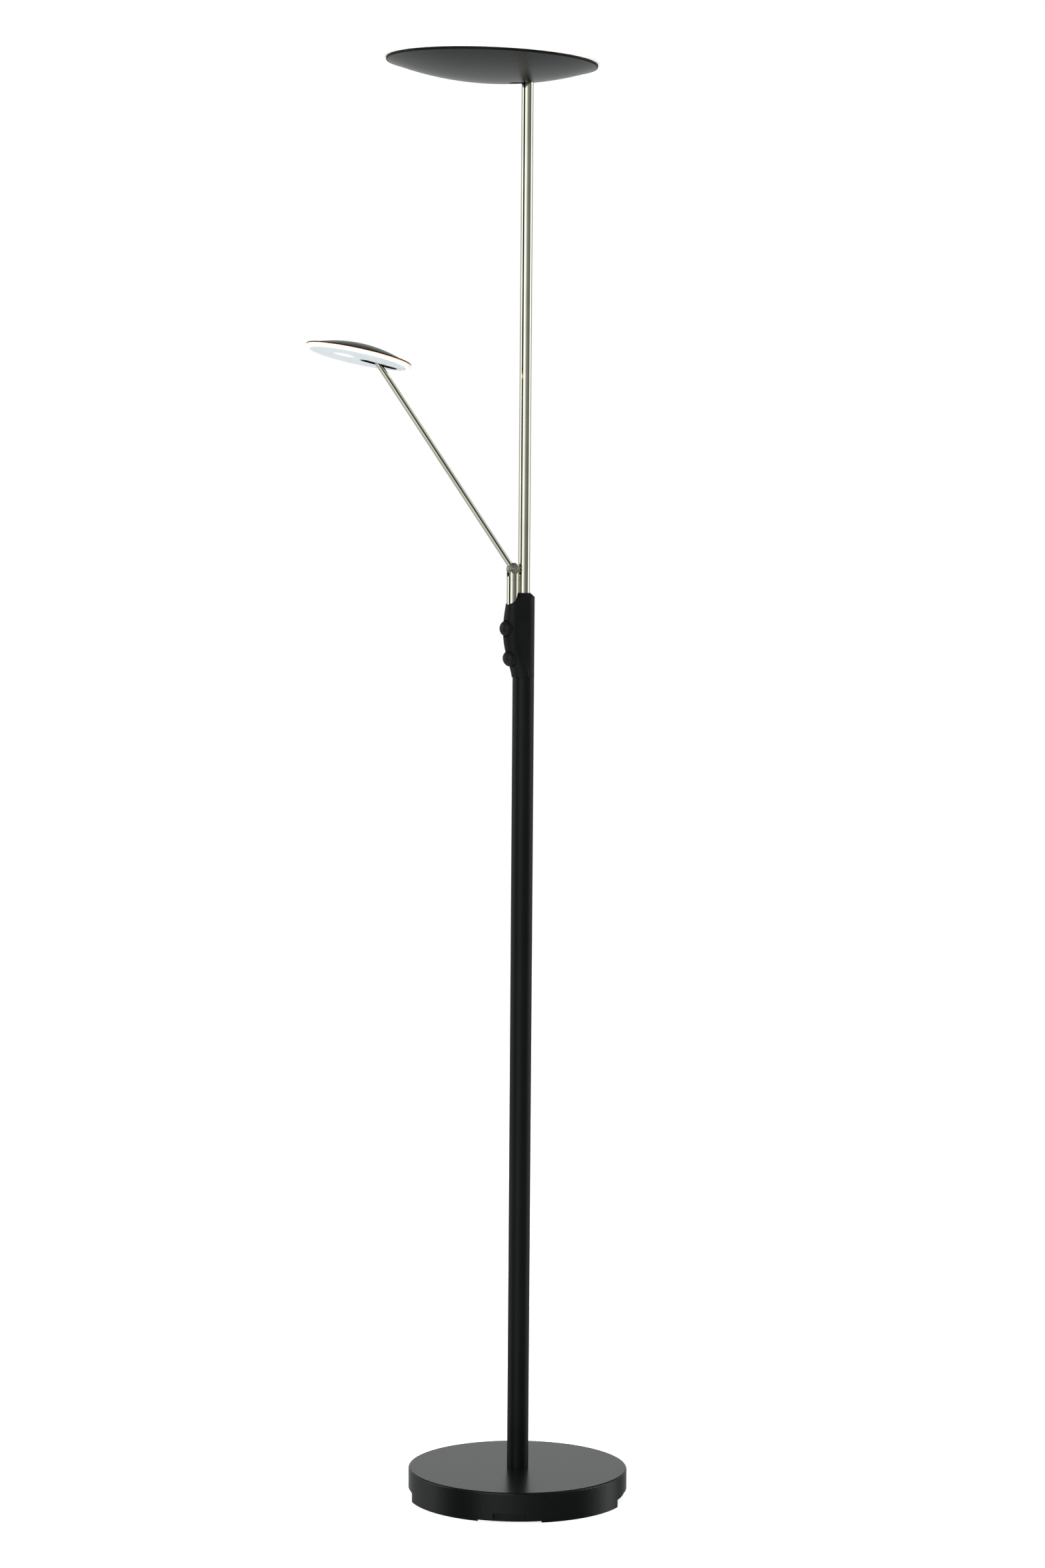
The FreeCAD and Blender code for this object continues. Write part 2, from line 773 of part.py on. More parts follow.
def make_arm():
    """Slim tube with a lug in the fork at one end and the head's ear at the other."""
    lug = fuse(
        across("lug_radius", "lug_width"),
        cylinder("arm_bore - fit", "lug_radius + 12"),
    )
    put(cut(lug, across("knuckle_pin + fit", "20")), "arm_lug", ARM)
    length = "arm_length - arm_end_gap - lug_radius"
    put(ring("arm_radius", "arm_bore", length, shift(z="lug_radius")), "arm_tube", ARM)
    ear_place = shift(z="arm_length")
    ear = fuse(
        across("arm_ear_radius", "arm_ear_width", ear_place),
        block("arm_ear_width", "arm_ear_width", "arm_end_gap", ear_place * shift(z="-arm_end_gap")),
        cylinder("arm_bore - fit", "12", ear_place * shift(z="-arm_end_gap - 12")),
    )
    put(cut(ear, across("head_pin + fit", "20", ear_place)), "arm_head_block", ARM)


# ---------------------------------------------------------------------------
# Reading head: modelled about its pivot, its disc centred head_offset in front
# ---------------------------------------------------------------------------
HEAD = ARM * shift(z="arm_length") * turn(Y_AXIS, "arm_tilt + head_tilt")
HEAD_DISC = HEAD * shift("-head_offset")
RING_TOP = "ring_height - head_floor"
PLATE_TOP = "plate_gauge - head_floor"
WEB_FOOT = "arm_ear_radius + 0.2"
WEB_GAUGE = "1.2"


def make_head_shell():
    """Domed cover with a post for the hinge bracket and two for the lamp board."""
    shell = dome("head_dome", "head_radius", "head_rise", "shell_gauge", RING_TOP)
    sphere = "((head_radius ^ 2 + head_rise ^ 2) / (2 * head_rise))"
    under_dome = ball(sphere, shift(z=f"head_crown - {sphere}"))
    post_foot = f"{WEB_FOOT} + {WEB_GAUGE}"
    posts = fuse(
        block("10", "8.6", "8", shift("head_offset", 0, post_foot)),
        cylinder("2.2", "12", shift("head_offset - lens_offset", "12", "-1.4")),
        cylinder("2.2", "12", shift("head_offset - lens_offset", "-12", "-1.4")),
    )
    put(fuse(shell, common(posts, under_dome)), "head_shell", HEAD_DISC)


def head_slot(margin, height, place):
    """The slot that the arm passes through, wider all round by the margin."""
    return slot(
        f"head_slot_out + {margin}", f"head_slot_in + {margin}",
        f"head_slot_width + 2 * ({margin})", height, place,
    )


def make_head_light():
    """Clear edge ring, slotted plate and its liner, and the lamp board over its lens."""
    lip = "plate_radius + plate_lip"
    edge = lathe(
        "head_ring",
        ("plate_radius + 0.2", "-head_floor"),
        ("head_ring - 0.8", "-head_floor", "0.8", RIGHT),
        ("head_ring", "0.8 - head_floor"),
        ("head_ring", f"{RING_TOP} - 0.8", "0.8", RIGHT),
        ("head_ring - 0.8", RING_TOP),
        (f"{lip} + 0.2", RING_TOP),
        (f"{lip} + 0.2", PLATE_TOP),
        ("plate_radius + 0.2", PLATE_TOP),
    )
    put(edge, "head_ring", HEAD_DISC)
    disc = fuse(
        cylinder("plate_radius", "plate_gauge", shift(z="-head_floor")),
        cylinder(lip, "plate_gauge", shift(z=PLATE_TOP)),
    )
    lens_place = shift("head_offset - lens_offset", 0, "-head_floor")
    slot_place = shift("head_offset", 0, "-head_floor")
    tools = (
        head_slot("liner_wall", "8", slot_place * shift(z="-1")),
        cylinder("lens_radius + 0.1", "8", lens_place * shift(z="-1")),
    )
    put(cut(disc, *tools), "head_plate", HEAD_DISC)
    liner = fuse(
        head_slot("liner_wall - fit", "2 * plate_gauge", slot_place),
        head_slot("liner_flange", "liner_gauge", slot_place * shift(z="-liner_gauge")),
    )
    passage = head_slot("0", "8", slot_place * shift(z="-2"))
    put(cut(liner, passage), "head_slot_liner", HEAD_DISC)
    lens = fuse(
        cylinder("lens_radius", "2 * plate_gauge", lens_place),
        cylinder("lens_radius + 2", "1", lens_place * shift(z="2 * plate_gauge")),
    )
    put(lens, "head_lens", HEAD_DISC)
    board_place = lens_place * shift(z="head_floor - 3")
    board = fuse(
        cylinder("lens_radius + 2", "1.6", board_place),
        cylinder("5", "1", board_place * shift(z="-1")),
    )
    put(board, "head_led_board", HEAD_DISC)


def make_head_hinge():
    """Bracket that straddles the arm's ear, and the pin through both."""
    inner = "arm_ear_width / 2 + 0.3"
    outer = f"{inner} + 1.5"
    bracket = fuse(
        across("head_cheek", f"2 * ({outer})"),
        block("2 * head_cheek", f"2 * ({outer})", WEB_FOOT),
        block("10", f"2 * ({outer})", WEB_GAUGE, shift(z=WEB_FOOT)),
    )
    tools = (
        block("20", f"2 * ({inner})", f"10 + {WEB_FOOT}", shift(z="-10")),
        across("head_pin + fit / 2", "20"),
    )
    put(cut(bracket, *tools), "head_bracket", HEAD)
    pin = fuse(
        across("head_pin", f"2 * ({outer}) + 1"),
        outward("2.2", "0.8", shift(y=outer)),
        outward("2.2", "0.8", shift(y=f"-({outer}) - 0.8")),
    )
    put(pin, "head_pin", HEAD)


# ---------------------------------------------------------------------------
# Dish: modelled about its own centre, z = 0 on top of its rim
# ---------------------------------------------------------------------------
DISH_PIVOT = shift("dish_offset", 0, "-dish_pivot")
DISH = FRONT * shift(z="dish_pivot_height") * turn(Y_AXIS, "dish_tilt") * DISH_PIVOT.inverse()
HEAT_TOP = "heat_plate_gauge - heat_plate_floor"


def make_dish_shell():
    """Shallow bowl with an upright rim, slotted underneath where the tube passes."""
    bowl = dome("dish_bowl", "dish_radius", "dish_depth", "shell_gauge", "rim_height")
    bowl.Placement = turn(X_AXIS, 180)
    rim = ring("dish_radius", "dish_radius - rim_gauge", "rim_height", shift(z="-rim_height"))
    sphere = "((dish_radius ^ 2 + dish_depth ^ 2) / (2 * dish_depth))"
    above_bowl = ball(sphere, shift(z=f"{sphere} - rim_height - dish_depth"))
    posts = [
        cylinder("4", "20", place * shift(z="-20"))
        for place in around(3, "dish_post_circle", "-heat_plate_floor", 60)
    ]
    solid = fuse(bowl, rim, common(fuse(*posts), above_bowl))
    tools = [slot("dish_slot_in", "dish_slot_out", "dish_slot_width", "22",
                  shift("dish_offset", 0, "-rim_height - dish_depth - 4"))]
    for place in around(3, "dish_post_circle", "-heat_plate_floor - 6", 60):
        tools.append(cylinder("housing_screw + fit", "6", place))
    put(cut(solid, *tools), "dish_shell", DISH)


def bracket_screw_places():
    """Two places on the hinge bracket's web, on top of the heat plate."""
    return [shift(f"dish_offset + {x}", 0, HEAT_TOP) for x in (-9, 9)]


def make_dish_light():
    """Heat plate on the bowl's posts, ring of lamps and the diffuser over them."""
    screw_places = around(3, "dish_post_circle", HEAT_TOP, 60) + bracket_screw_places()
    plate = cylinder("heat_plate_radius", "heat_plate_gauge", shift(z="-heat_plate_floor"))
    tools = [cylinder("housing_screw + fit", "8", place * shift(z="-4")) for place in screw_places]
    put(cut(plate, *tools), "dish_heat_plate", DISH)
    band = ring("led_outer", "led_inner", "led_board_gauge", shift(z=HEAT_TOP))
    openings = [cylinder("3.5", "4", place * shift(z="-1")) for place in screw_places]
    put(cut(band, *openings), "dish_led_board", DISH)
    cover = lathe(
        "diffuser_disc",
        ("0", "0"),
        ("diffuser_radius", "0"),
        ("diffuser_radius", "diffuser_height - 0.8", "0.8", RIGHT),
        ("diffuser_radius - 0.8", "diffuser_height"),
        ("0", "diffuser_height"),
    )
    lip = ring("dish_radius - rim_gauge - 0.3", "dish_radius - rim_gauge - 2.3", "1.2",
               shift(z="-1.2"))
    put(fuse(cover, lip), "dish_diffuser", DISH)
    screws = []
    for place in screw_places:
        shank = cylinder("housing_screw", "heat_plate_gauge + 3.4",
                         place * shift(z="-heat_plate_gauge - 3.4"))
        head = cut(cylinder("2.4", "1.2", place), block("3", "0.7", "0.8", place * shift(z="0.5")))
        screws.append(fuse(head, shank))
    put(group(*screws), "dish_screws", DISH)


def make_dish_hinge():
    """Ear plugged into the tube's end, bracket under the heat plate, and their pin."""
    ear_place = shift(z="dish_pivot_height")
    ear = fuse(
        across("dish_ear_radius", "dish_ear_width", ear_place),
        block("dish_ear_width", "dish_ear_width", "tube_end_gap",
              ear_place * shift(z="-tube_end_gap")),
        cylinder("tube_bore - fit", "14", ear_place * shift(z="-tube_end_gap - 14")),
    )
    put(cut(ear, across("dish_pin + fit", "20", ear_place)), "dish_hinge_block", FRONT)
    inner = "dish_ear_width / 2 + 0.5"
    outer = f"({inner}) + 2"
    web_foot = "(dish_ear_radius + 0.4)"
    web_top = "(dish_pivot - heat_plate_floor)"
    bracket = fuse(
        across("dish_ear_radius", f"2 * ({outer})"),
        block("2 * dish_ear_radius", f"2 * ({outer})", web_foot),
        block("24", f"2 * ({outer})", f"{web_top} - {web_foot}", shift(z=web_foot)),
    )
    tools = [
        block("30", f"2 * ({inner})", f"10 + {web_foot}", shift(z="-10")),
        across("dish_pin + fit / 2", "20"),
    ]
    for x in (-9, 9):
        tools.append(cylinder("housing_screw + fit", "20", shift(x)))
    put(cut(bracket, *tools), "dish_bracket", DISH * DISH_PIVOT)
    pin = fuse(
        across("dish_pin", f"2 * ({outer}) + 1"),
        outward("2.8", "0.8", shift(y=outer)),
        outward("2.8", "0.8", shift(y=f"-({outer}) - 0.8")),
    )
    put(pin, "dish_hinge_pin", DISH * DISH_PIVOT)


# ---------------------------------------------------------------------------
# The lamp
# ---------------------------------------------------------------------------
def make_lamp():
    make_base_cover()
    make_base_weight()
    make_base_pan()
    make_pan_screws()
    put(ring("foot_radius", "foot_radius - foot_width", "foot_height"), "foot_ring")
    make_stud()
    make_gland()
    make_driver()
    make_poles()
    make_housing()
    make_housing_screws()
    make_controls()
    make_swivel()
    make_fork()
    make_arm()
    make_head_shell()
    make_head_light()
    make_head_hinge()
    make_dish_shell()
    make_dish_light()
    make_dish_hinge()


def check_document():
    """Stops if any feature failed or any sub-part's shape is missing, broken or unnamed."""
    failed = [
        feature.Label for feature in doc.Objects
        if {"Invalid", "Error"} & set(feature.State)
    ]
    broken = [
        feature.Label for feature in sub_parts
        if feature.Shape.isNull() or not feature.Shape.isValid() or not feature.Shape.Solids
    ]
    names = {feature.Label for feature in sub_parts}
    if failed or broken or len(names) != len(sub_parts):
        raise RuntimeError(f"failed: {failed}, broken: {broken}, names: {sorted(names)}")


make_lamp()
doc.recompute()
check_document()
os.makedirs("parts", exist_ok=True)
for part in sub_parts:
    part.Shape.exportStep(f"parts/{part.Label}.step")
print(len(sub_parts), "sub-parts written")
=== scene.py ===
"""The look of the torchiere floor lamp: camera, studio, materials and detailed pieces."""
import json
import math

import bmesh
import bpy
from mathutils import Matrix, Vector


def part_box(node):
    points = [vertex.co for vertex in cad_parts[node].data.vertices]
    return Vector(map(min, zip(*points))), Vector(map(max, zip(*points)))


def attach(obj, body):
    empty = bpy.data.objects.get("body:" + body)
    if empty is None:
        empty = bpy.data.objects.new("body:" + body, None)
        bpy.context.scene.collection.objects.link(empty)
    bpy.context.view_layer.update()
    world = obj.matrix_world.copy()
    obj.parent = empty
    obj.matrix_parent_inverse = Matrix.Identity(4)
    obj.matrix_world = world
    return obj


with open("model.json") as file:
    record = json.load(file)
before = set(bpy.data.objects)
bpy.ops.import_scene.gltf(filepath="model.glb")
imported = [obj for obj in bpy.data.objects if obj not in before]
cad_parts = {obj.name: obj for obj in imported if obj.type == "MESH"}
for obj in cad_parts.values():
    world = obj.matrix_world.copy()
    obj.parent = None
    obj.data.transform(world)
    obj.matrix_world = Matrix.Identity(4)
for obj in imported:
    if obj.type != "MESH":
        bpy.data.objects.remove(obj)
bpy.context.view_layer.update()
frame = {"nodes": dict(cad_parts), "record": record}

MM = 0.001
JOINTS = {joint["name"]: joint for joint in frame["record"]["behaviour"]["joints"]}


# ---------------------------------------------------------------------------
# Camera: lengths in metres, its lens and the frame's long side in mm
# ---------------------------------------------------------------------------
CAMERA_DISTANCE = 4.983
CAMERA_HEIGHT = 1.271
CAMERA_TURN = math.radians(4.0)
CAMERA_PITCH = math.radians(-4.04)
CAMERA_ROLL = math.radians(0.42)
CAMERA_LENS = 90.2
CAMERA_REACH = 50.0
LONG_SIDE = 36.0
TOWARDS_CAMERA = Vector((math.sin(CAMERA_TURN), -math.cos(CAMERA_TURN), 0.0))


def make_camera():
    data = bpy.data.cameras.new("camera")
    data.sensor_width = LONG_SIDE
    data.lens = CAMERA_LENS
    data.clip_end = CAMERA_REACH
    camera = bpy.data.objects.new("camera", data)
    bpy.context.scene.collection.objects.link(camera)
    ahead = Vector((-math.sin(CAMERA_TURN), math.cos(CAMERA_TURN), 0.0))
    aside = Vector((ahead.y, -ahead.x, 0.0))
    forward = ahead * math.cos(CAMERA_PITCH) + Vector((0.0, 0.0, math.sin(CAMERA_PITCH)))
    above = aside.cross(forward)
    right = aside * math.cos(CAMERA_ROLL) + above * math.sin(CAMERA_ROLL)
    up = right.cross(forward)
    turn = Matrix((right, up, -forward)).transposed().to_4x4()
    place = ahead * -CAMERA_DISTANCE + Vector((0.0, 0.0, CAMERA_HEIGHT))
    camera.matrix_world = Matrix.Translation(place) @ turn
    bpy.context.scene.camera = camera


# ---------------------------------------------------------------------------
# Studio
# ---------------------------------------------------------------------------
# Soft area lights: place, the point each faces, its width and height in metres, and its watts
LIGHTS = {
    "softbox_front": ((-0.75, -4.4, 1.5), (0, 0, 1.1), 2.6, 3.0, 40),
    "overhead": ((0.0, 0.6, 4.2), (0, 0.6, 0), 5.0, 5.0, 230),
}


def add_light(name, place, target, width, height, watts):
    """A light that only brightens surfaces: neither the camera nor a reflection sees it."""
    data = bpy.data.lights.new(name, "AREA")
    data.shape = "RECTANGLE"
    data.size = width
    data.size_y = height
    data.energy = watts
    light = bpy.data.objects.new(name, data)
    bpy.context.scene.collection.objects.link(light)
    light.location = place
    light.rotation_euler = (Vector(target) - Vector(place)).to_track_quat("-Z", "Y").to_euler()
    light.visible_camera = False
    light.visible_glossy = False


def ramp(tree, value, points):
    """Turns the value, from 0 to 1, into a brightness that runs through the points."""
    node = tree.nodes.new("ShaderNodeValToRGB")
    elements = node.color_ramp.elements
    for element, (_, level) in ((elements[0], points[0]), (elements[-1], points[-1])):
        element.color = (level, level, level, 1)
    for place, level in points[1:-1]:
        elements.new(place).color = (level, level, level, 1)
    tree.links.new(value, node.inputs["Fac"])
    return node.outputs["Color"]


def calculate(tree, operation, first, second):
    """The result of one Math node, whose second value may be a plain number."""
    node = tree.nodes.new("ShaderNodeMath")
    node.operation = operation
    tree.links.new(first, node.inputs[0])
    if isinstance(second, float):
        node.inputs[1].default_value = second
    else:
        tree.links.new(second, node.inputs[1])
    return node.outputs["Value"]


def along(tree, direction, axis):
    """How far the direction reaches along the axis."""
    node = tree.nodes.new("ShaderNodeVectorMath")
    node.operation = "DOT_PRODUCT"
    node.inputs[1].default_value = axis
    tree.links.new(direction, node.inputs[0])
    return node.outputs["Value"]


def fraction(tree, value, low, high, interpolation="LINEAR"):
    """How far the value is on its way from low to high, from 0 to 1."""
    node = tree.nodes.new("ShaderNodeMapRange")
    node.interpolation_type = interpolation
    node.inputs["From Min"].default_value = low
    node.inputs["From Max"].default_value = high
    tree.links.new(value, node.inputs["Value"])
    return node.outputs["Result"]


# What reflections see: brightness round the lamp, by degrees from the camera towards its right,
# and how it changes with height on the camera's side and on the far side, by the sine of the
# angle above the horizon.
AROUND = (
    (-180, 1.0), (-160, 0.75), (-140, 0.5), (-112, 0.85), (-98, 2.2), (-84, 2.2), (-76, 0.1),
    (-70, 0.01), (-49, 0.01), (-43, 0.9), (-36, 2.2), (-22, 2.2), (-8, 1.2), (2, 0.95),
    (12, 0.45), (28, 0.26), (41, 0.32), (56, 0.22), (70, 0.1), (78, 0.15), (86, 2.0),
    (110, 2.0), (122, 1.0), (134, 0.15), (160, 0.6), (180, 1.0),
)
BRIGHTEST = 2.2
FRONT_HEIGHTS = (
    (-1.0, 0.5), (-0.5, 0.9), (-0.42, 0.6), (-0.34, 0.06), (-0.2, 0.02), (-0.12, 0.26),
    (-0.02, 0.85), (0.05, 1.0), (0.35, 0.9), (0.7, 0.14), (1.0, 0.1),
)
BACK_HEIGHTS = (
    (-1.0, 0.4), (-0.7, 0.52), (-0.4, 0.58), (-0.2, 0.52), (-0.1, 0.8), (0.02, 0.9),
    (0.25, 0.88), (0.4, 0.35), (0.6, 0.2), (1.0, 0.1),
)
# Where the front's heights begin to turn into the back's, by the reach towards the camera
FRONT_ENDS = 0.1
BACK_STARTS = -0.5
STUDIO_TINT = (0.97, 1.0, 1.0, 1.0)
BACKDROP = (1.0, 1.0, 1.0, 1.0)
FLOOR_SIZE = 60
PAPER = {
    "Base Color": (0.8, 0.8, 0.8, 1.0),
    "Roughness": 0.9,
    "Specular IOR Level": 0.1,
    "Emission Color": (1.0, 1.0, 1.0, 1.0),
    "Emission Strength": 0.8,
}


def make_world():
    """White backdrop for the camera; light and dark bands, as in a studio, for the lamp."""
    world = bpy.data.worlds.new("studio")
    bpy.context.scene.world = world
    world.use_nodes = True
    tree = world.node_tree
    seen = tree.nodes["Background"]
    seen.inputs["Color"].default_value = BACKDROP
    lighting = tree.nodes.new("ShaderNodeBackground")
    lighting.inputs["Color"].default_value = STUDIO_TINT
    direction = tree.nodes.new("ShaderNodeTexCoord").outputs["Generated"]
    towards = along(tree, direction, TOWARDS_CAMERA)
    aside = along(tree, direction, Vector((-TOWARDS_CAMERA.y, TOWARDS_CAMERA.x, 0.0)))
    height = fraction(tree, along(tree, direction, Vector((0.0, 0.0, 1.0))), -1.0, 1.0)
    azimuth = fraction(tree, calculate(tree, "ARCTAN2", aside, towards), -math.pi, math.pi)
    bands = ramp(
        tree, azimuth, [(degrees / 360 + 0.5, level / BRIGHTEST) for degrees, level in AROUND]
    )
    heights = tree.nodes.new("ShaderNodeMix")
    behind = fraction(tree, towards, FRONT_ENDS, BACK_STARTS, "SMOOTHSTEP")
    tree.links.new(behind, heights.inputs["Factor"])
    for points, socket in ((FRONT_HEIGHTS, "A"), (BACK_HEIGHTS, "B")):
        side = ramp(tree, height, [(sine / 2 + 0.5, level) for sine, level in points])
        tree.links.new(side, heights.inputs[socket])
    product = calculate(tree, "MULTIPLY", bands, heights.outputs["Result"])
    strength = calculate(tree, "MULTIPLY", product, BRIGHTEST)
    tree.links.new(strength, lighting.inputs["Strength"])
    path = tree.nodes.new("ShaderNodeLightPath")
    mix = tree.nodes.new("ShaderNodeMixShader")
    tree.links.new(path.outputs["Is Camera Ray"], mix.inputs["Fac"])
    tree.links.new(lighting.outputs["Background"], mix.inputs[1])
    tree.links.new(seen.outputs["Background"], mix.inputs[2])
    tree.links.new(mix.outputs["Shader"], tree.nodes["World Output"].inputs["Surface"])


def make_floor():
    """White paper with a glow of its own, so that it meets the backdrop without a horizon."""
    bpy.ops.mesh.primitive_plane_add(size=FLOOR_SIZE, location=(0, 0, 0))
    floor = bpy.context.object
    floor.name = "floor"
    paper = bpy.data.materials.new("floor_paper")
    paper.use_nodes = True
    shader = paper.node_tree.nodes["Principled BSDF"]
    for name, value in PAPER.items():
        shader.inputs[name].default_value = value
    floor.data.materials.append(paper)
    floor.visible_glossy = False


def make_studio():
    bpy.context.scene.view_settings.view_transform = "Standard"
    make_world()
    make_floor()
    for name, light in LIGHTS.items():
        add_light(name, *light)


# ---------------------------------------------------------------------------
# Materials
# ---------------------------------------------------------------------------
BEVEL_SAMPLES = 4
# Drawn streaks of plating: fine across the tube, long up it
STREAKS = (2600.0, 2600.0, 14.0)
WINDOW_STRENGTH = 0.2
# How much of the window's radius its glow reaches
WINDOW_REACH = 0.97


class Finish:
    """Builds one node material step by step around a Principled shader."""

    def __init__(self, name):
        self.material = bpy.data.materials.new(name)
        self.material.use_nodes = True
        self.tree = self.material.node_tree
        self.shader = self.tree.nodes["Principled BSDF"]
        self.coordinates = self.tree.nodes.new("ShaderNodeTexCoord").outputs["Object"]

    def node(self, kind, **inputs):
        made = self.tree.nodes.new(kind)
        for name, value in inputs.items():
            made.inputs[name.replace("_", " ")].default_value = value
        return made

    def link(self, output, target):
        self.tree.links.new(output, target)

    def constant(self, **values):
        for name, value in values.items():
            self.shader.inputs[name.replace("_", " ")].default_value = value

    def noise(self, scale, detail=4.0, roughness=0.55, stretch=(1.0, 1.0, 1.0)):
        mapping = self.node("ShaderNodeMapping", Scale=stretch)
        self.link(self.coordinates, mapping.inputs["Vector"])
        texture = self.node("ShaderNodeTexNoise", Scale=scale, Detail=detail, Roughness=roughness)
        self.link(mapping.outputs["Vector"], texture.inputs["Vector"])
        return texture.outputs["Fac"]

    def spread(self, value, low, high, start=0.3, stop=0.7, interpolation="LINEAR"):
        """The value between start and stop, mapped to the span from low to high."""
        mapped = self.node("ShaderNodeMapRange")
        mapped.interpolation_type = interpolation
        mapped.inputs["From Min"].default_value = start
        mapped.inputs["From Max"].default_value = stop
        mapped.inputs["To Min"].default_value = low
        mapped.inputs["To Max"].default_value = high
        self.link(value, mapped.inputs["Value"])
        return mapped.outputs["Result"]

    def colours(self, value, first, second, start=0.35, stop=0.65):
        """A colour that runs from the first to the second as the value goes from start to stop."""
        node = self.tree.nodes.new("ShaderNodeValToRGB")
        low, high = node.color_ramp.elements
        low.position, low.color = start, (*first, 1)
        high.position, high.color = stop, (*second, 1)
        self.link(value, node.inputs["Fac"])
        return node.outputs["Color"]

    def blend(self, value, first, second):
        """The first colour, an output, turned into the second as the value goes from 0 to 1."""
        mix = self.tree.nodes.new("ShaderNodeMix")
        mix.data_type = "RGBA"
        self.link(value, mix.inputs["Factor"])
        self.link(first, mix.inputs["A"])
        mix.inputs["B"].default_value = (*second, 1)
        return mix.outputs["Result"]

    def colour(self, output):
        self.link(output, self.shader.inputs["Base Color"])

    def rough(self, output):
        self.link(output, self.shader.inputs["Roughness"])

    def edges(self, radius):
        """How near a point is to a sharp edge, from 0 on the flat to 1 on the edge."""
        geometry = self.tree.nodes.new("ShaderNodeNewGeometry")
        compare = self.tree.nodes.new("ShaderNodeVectorMath")
        compare.operation = "DOT_PRODUCT"
        self.link(self.bevel(radius), compare.inputs[0])
        self.link(geometry.outputs["Normal"], compare.inputs[1])
        return self.spread(compare.outputs["Value"], 1.0, 0.0, 0.75, 0.995)

    def bevel(self, radius):
        """The surface's normal, with sharp edges rounded off at the radius."""
        node = self.node("ShaderNodeBevel", Radius=radius)
        node.samples = BEVEL_SAMPLES
        return node.outputs["Normal"]

    def bump(self, value, strength, distance, soften=0.0004):
        """Raises the surface by the value, with its sharp edges softened by a small radius."""
        node = self.node("ShaderNodeBump", Strength=strength, Distance=distance)
        self.link(value, node.inputs["Height"])
        self.link(self.bevel(soften), node.inputs["Normal"])
        self.link(node.outputs["Normal"], self.shader.inputs["Normal"])


def darker(tone, factor):
    return tuple(factor * channel for channel in tone)


def rubbed(tone, gain, lift):
    """The tone where it is worn: brighter, but never above white."""
    return tuple(min(1.0, gain * channel + lift) for channel in tone)


def enamel(name, dark, light, roughness, grain=1400.0, specular=0.5, wear=0.25):
    """Sprayed enamel or powder coat with a fine orange-peel grain and lightly rubbed edges."""
    finish = Finish(name)
    cloud = finish.noise(9.0, 5.0)
    base = finish.colours(cloud, dark, light)
    worn = finish.spread(finish.edges(0.0012), 0.0, wear, 0.2, 1.0)
    finish.colour(finish.blend(worn, base, rubbed(light, 1.9, 0.03)))
    finish.rough(finish.spread(finish.noise(700.0, 3.0), roughness - 0.015, roughness + 0.02))
    finish.bump(finish.noise(grain, 2.0), 0.03, 0.00005)
    finish.constant(Specular_IOR_Level=specular)
    return finish.material


def plated(name, tone, roughness, streak=0.03, soften=0.0):
    """Satin plating: drawn streaks along its length, slight clouding and softened edges."""
    finish = Finish(name)
    lines = finish.noise(1.0, 3.0, 0.6, STREAKS)
    cloud = finish.noise(14.0, 4.0)
    finish.colour(finish.colours(cloud, darker(tone, 0.86), tone))
    finish.rough(finish.spread(lines, roughness - streak, roughness + streak))
    if soften:
        finish.bump(cloud, 0.02, 0.00005, soften)
    finish.constant(Metallic=1.0)
    return finish.material


def moulded(name, dark, light, roughness, grain=2200.0, depth=0.00006, specular=0.5):
    """Moulded plastic: a fine spark-eroded grain and faint shade changes."""
    finish = Finish(name)
    base = finish.colours(finish.noise(25.0, 4.0), dark, light)
    worn = finish.spread(finish.edges(0.0008), 0.0, 0.2, 0.3, 1.0)
    finish.colour(finish.blend(worn, base, rubbed(light, 1.6, 0.02)))
    finish.rough(finish.spread(finish.noise(90.0, 5.0), roughness - 0.04, roughness + 0.06))
    finish.bump(finish.noise(grain, 2.0), 0.25, depth)
    finish.constant(Specular_IOR_Level=specular)
    return finish.material


def glowing(name, tone, light, strength, roughness):
    """Lit opal or clear plastic: its colour, a very slight ripple and even emission."""
    finish = Finish(name)
    finish.colour(finish.colours(finish.noise(30.0, 3.0), darker(tone, 0.97), tone))
    finish.rough(finish.spread(finish.noise(50.0, 3.0), roughness - 0.05, roughness + 0.05))
    finish.bump(finish.noise(300.0, 2.0), 0.05, 0.00005)
    finish.constant(Emission_Color=(*light, 1), Emission_Strength=strength)
    return finish.material


def window_glow(name):
    """Frosted window over a lamp: warm white in the middle, fading into the plate at its edge."""
    finish = Finish(name)
    low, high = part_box("head_lens")
    offset = finish.tree.nodes.new("ShaderNodeVectorMath")
    offset.operation = "DISTANCE"
    offset.inputs[1].default_value = (low + high) / 2
    finish.link(finish.coordinates, offset.inputs[0])
    rim = (high - low).x / 2
    fade = finish.spread(
        offset.outputs["Value"], 1.0, 0.0, 0.0, WINDOW_REACH * rim, "SMOOTHSTEP"
    )
    finish.colour(finish.colours(fade, (0.60, 0.65, 0.67), (0.9, 0.87, 0.77), 0.0, 1.0))
    glow = finish.tree.nodes.new("ShaderNodeMath")
    glow.operation = "MULTIPLY"
    glow.inputs[1].default_value = WINDOW_STRENGTH
    finish.link(fade, glow.inputs[0])
    finish.link(glow.outputs["Value"], finish.shader.inputs["Emission Strength"])
    finish.constant(Emission_Color=(1.0, 0.96, 0.84, 1))
    finish.rough(finish.spread(finish.noise(200.0, 3.0), 0.35, 0.45))
    finish.bump(finish.noise(1500.0, 2.0), 0.1, 0.00003)
    return finish.material


